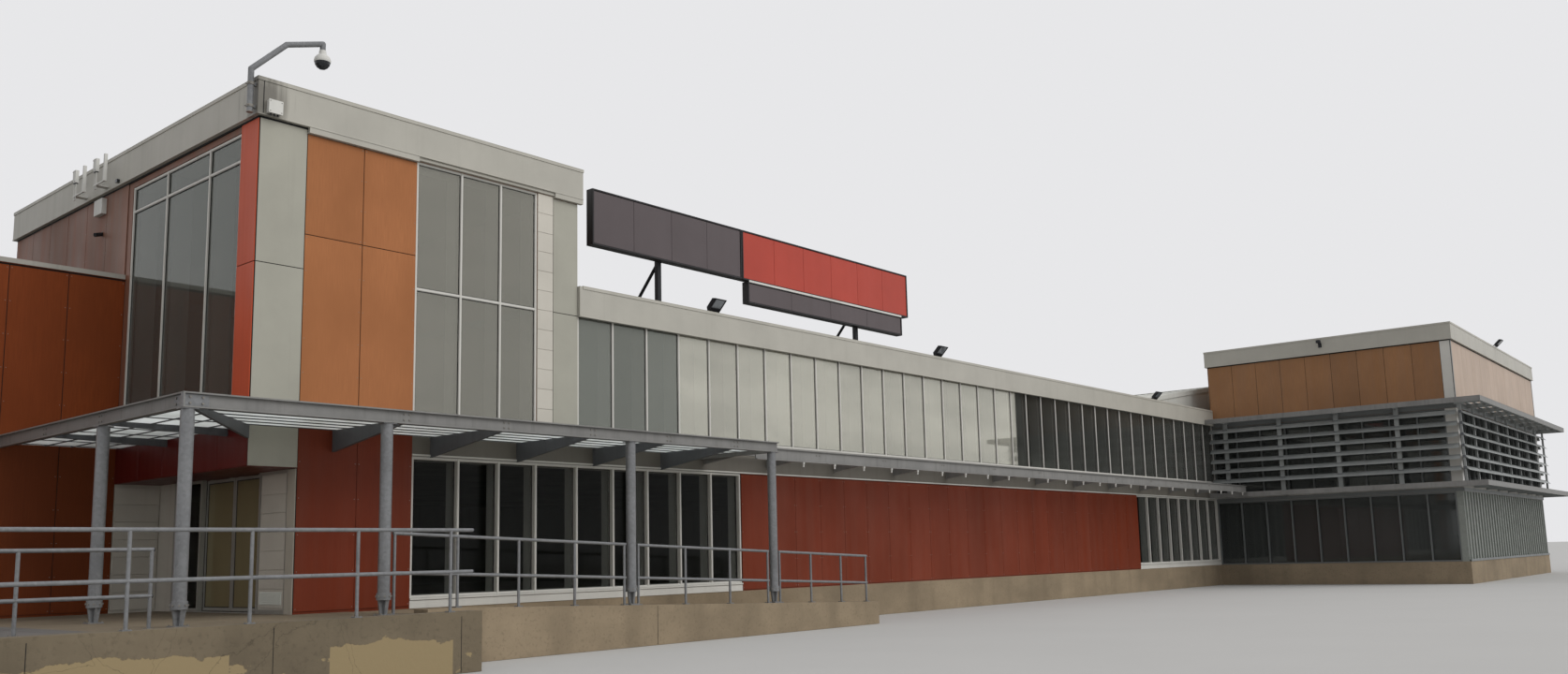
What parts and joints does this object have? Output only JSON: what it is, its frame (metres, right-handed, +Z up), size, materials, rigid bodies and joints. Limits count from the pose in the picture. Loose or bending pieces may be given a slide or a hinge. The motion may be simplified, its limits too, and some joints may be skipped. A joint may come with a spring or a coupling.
{
  "type": "supermarket building scale model",
  "caption": "Supermarket at 1:2 scale: panelled corner tower, long glazed wing, louvred pavilion, steel entrance canopy, terrace and sliding doors.",
  "frame": {"origin": "under the front left corner of the tower, on the lowest ground", "axes": "+X along the shop front towards the pavilion, +Y into the building, +Z up"},
  "size_m": [29.69, 15.94, 4.9225],
  "materials": {
    "concrete": "cast concrete, weathered",
    "slab": "smooth concrete slab",
    "roof_felt": "grey roof membrane",
    "pale_sheet": "ribbed pale steel sheet",
    "plain_wall": "coated wall panels",
    "orange_wood": "orange veneered panels",
    "dark_wood": "red-brown veneered panels",
    "grey_panel": "smooth grey panels",
    "red_panel": "dark red coated panels",
    "fascia_metal": "grey-beige coated metal",
    "tan_panel": "tan coated panels",
    "white_frame": "white coated frames",
    "grey_frame": "grey coated frames",
    "dark_steel": "dark grey coated steel",
    "grey_steel": "mid grey coated steel",
    "galvanised": "galvanised steel",
    "deck_sheet": "milky translucent sheet",
    "window_glass": "tinted float glass",
    "clear_glass": "clear float glass",
    "sign_face": "matt coated boards",
    "lamp_body": "white housings"
  },
  "bodies": {
    "building": {"foundation": "concrete", "entrance_terrace": "concrete", "shopfront_ramp": "concrete", "low_wing_wall": "dark_wood", "back_wall": "plain_wall", "left_end_wall": "plain_wall", "right_end_wall": "plain_wall", "recess_wall": "grey_panel", "entrance_lintel": "red_panel", "recess_bulkhead": "red_panel", "tower_lower_wall": "orange_wood", "wing_red_wall": "red_panel", "shopfront_lintel": "grey_panel", "upper_floor": "slab", "tower_front_wall": "orange_wood", "tower_side_wall": "orange_wood", "tower_rear_walls": "orange_wood", "flat_roof": "roof_felt", "high_roofs": "roof_felt", "tower_fascia": "fascia_metal", "pavilion_fascia": "fascia_metal", "wing_fascia": "fascia_metal", "tower_window_frames": "white_frame", "ribbon_frame": "white_frame", "ribbon_fins": "grey_steel", "upper_glass": "window_glass", "shopfront_frames": "white_frame", "window_fins": "grey_steel", "ground_floor_glass": "clear_glass", "entrance_panel": "white_frame", "entrance_frame": "grey_frame", "door_track_header": "grey_frame", "canopy_beams": "grey_steel", "canopy_rafters": "grey_steel", "canopy_deck": "deck_sheet", "canopy_columns": "galvanised", "railings": "galvanised", "wing_canopy": "grey_steel", "pavilion_floor": "slab", "pavilion_ribbed_wall": "pale_sheet", "pavilion_back_wall": "plain_wall", "pavilion_window_frames": "white_frame", "pavilion_glass": "window_glass", "pavilion_corner_posts": "grey_panel", "pavilion_upper_walls": "tan_panel", "upper_sunshade": "dark_steel", "lower_sunshade": "dark_steel", "louvre_screens": "dark_steel", "pitched_roof": "pale_sheet", "sign_boards": "sign_face", "sign_frame": "galvanised", "floodlights": "lamp_body", "aerials_and_boxes": "lamp_body", "camera_mast": "galvanised"},
    "near_leaf": {"near_door_leaf": "grey_frame", "near_door_glass": "clear_glass"},
    "far_leaf": {"far_door_leaf": "grey_frame", "far_door_glass": "clear_glass"}
  },
  "joints": [
    {"name": "near_leaf_slide", "type": "slide", "parent": "building", "child": "near_leaf", "axis": [0, -1, 0], "range_m": [0, 0.45]},
    {"name": "far_leaf_slide", "type": "slide", "parent": "building", "child": "far_leaf", "axis": [0, 1, 0], "range_m": [0, 0.45]}
  ],
  "couplings": [
    {"joint": "far_leaf_slide", "follows": "near_leaf_slide", "ratio": 1}
  ]
}
